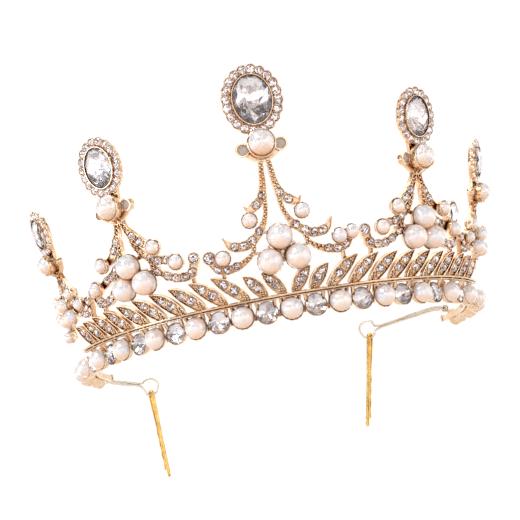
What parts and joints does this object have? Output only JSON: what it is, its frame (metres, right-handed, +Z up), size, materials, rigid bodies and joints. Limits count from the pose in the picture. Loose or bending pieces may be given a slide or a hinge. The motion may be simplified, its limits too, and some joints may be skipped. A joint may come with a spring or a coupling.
{
  "type": "bridal tiara",
  "caption": "Open horseshoe tiara: a band of pearls and round crystals, a leaf frieze and openwork crests topped with oval crystals, with hair pins hung from wire loops.",
  "frame": {"origin": "on the head axis, level with the lowest point of the base row of stones", "axes": "+Z up, -Y to the wearer's front, +X to the right of a person facing the tiara"},
  "size_m": [0.1708, 0.1445, 0.1179],
  "materials": {
    "rose_gold": "polished pale rose-gold plating on cast alloy",
    "pearl": "nacre-coated bead with a soft white-pink lustre",
    "crystal": "clear faceted glass, foil-backed",
    "wire_metal": "bright drawn wire",
    "pin_metal": "yellow-gold lacquer on spring steel"
  },
  "bodies": {
    "tiara": {"base_band": "rose_gold", "crest_centre": "rose_gold", "crest_mid_left": "rose_gold", "crest_mid_right": "rose_gold", "crest_outer_left": "rose_gold", "crest_outer_right": "rose_gold", "finial_pearl_centre": "pearl", "finial_pearl_mid_left": "pearl", "finial_pearl_mid_right": "pearl", "finial_pearl_outer_left": "pearl", "finial_pearl_outer_right": "pearl", "leaf_frieze": "rose_gold", "oval_crystal_centre": "crystal", "oval_crystal_mid_left": "crystal", "oval_crystal_mid_right": "crystal", "oval_crystal_outer_left": "crystal", "oval_crystal_outer_right": "crystal", "pearl_triad_centre": "pearl", "pearl_triad_mid_left": "pearl", "pearl_triad_mid_right": "pearl", "pearl_triad_outer_left": "pearl", "pearl_triad_outer_right": "pearl", "row_crystal_left_01": "crystal", "row_crystal_left_03": "crystal", "row_crystal_left_05": "crystal", "row_crystal_left_07": "crystal", "row_crystal_left_09": "crystal", "row_crystal_left_11": "crystal", "row_crystal_right_01": "crystal", "row_crystal_right_03": "crystal", "row_crystal_right_05": "crystal", "row_crystal_right_07": "crystal", "row_crystal_right_09": "crystal", "row_crystal_right_11": "crystal", "row_pearl_centre": "pearl", "row_pearl_left_02": "pearl", "row_pearl_left_04": "pearl", "row_pearl_left_06": "pearl", "row_pearl_left_08": "pearl", "row_pearl_left_10": "pearl", "row_pearl_left_12": "pearl", "row_pearl_left_14": "pearl", "row_pearl_left_16": "pearl", "row_pearl_left_18": "pearl", "row_pearl_right_02": "pearl", "row_pearl_right_04": "pearl", "row_pearl_right_06": "pearl", "row_pearl_right_08": "pearl", "row_pearl_right_10": "pearl", "row_pearl_right_12": "pearl", "row_pearl_right_14": "pearl", "row_pearl_right_16": "pearl", "row_pearl_right_18": "pearl", "side_crystal_mid_right": "crystal", "wire_loop_left": "wire_metal", "wire_loop_right": "wire_metal"},
    "hair_pin_left": {"hair_pin_left": "pin_metal"},
    "pin_prong_left": {"pin_prong_left": "pin_metal"},
    "hair_pin_right": {"hair_pin_right": "pin_metal"},
    "pin_prong_right": {"pin_prong_right": "pin_metal"}
  },
  "joints": [
    {"name": "hair_pin_left_swing", "type": "hinge", "parent": "tiara", "child": "hair_pin_left", "pos_m": [-0.0602, 0.0416, -0.0037], "axis": [0.9397, 0.342, 0], "range_deg": [-70, 70]},
    {"name": "pin_prong_left_open", "type": "hinge", "parent": "hair_pin_left", "child": "pin_prong_left", "pos_m": [-0.06093, 0.04299, -0.00473], "axis": [0.8639, 0.5, 0.0604], "range_deg": [0, 12], "stiffness_Nm_per_rad": 0.15},
    {"name": "hair_pin_right_swing", "type": "hinge", "parent": "tiara", "child": "hair_pin_right", "pos_m": [0.0392, 0.0136, 0.0013], "axis": [-0.9397, 0.342, 0], "range_deg": [-70, 70]},
    {"name": "pin_prong_right_open", "type": "hinge", "parent": "hair_pin_right", "child": "pin_prong_right", "pos_m": [0.03975, 0.01499, 0.00016], "axis": [0.8421, -0.5, -0.2022], "range_deg": [0, 12], "stiffness_Nm_per_rad": 0.15}
  ]
}
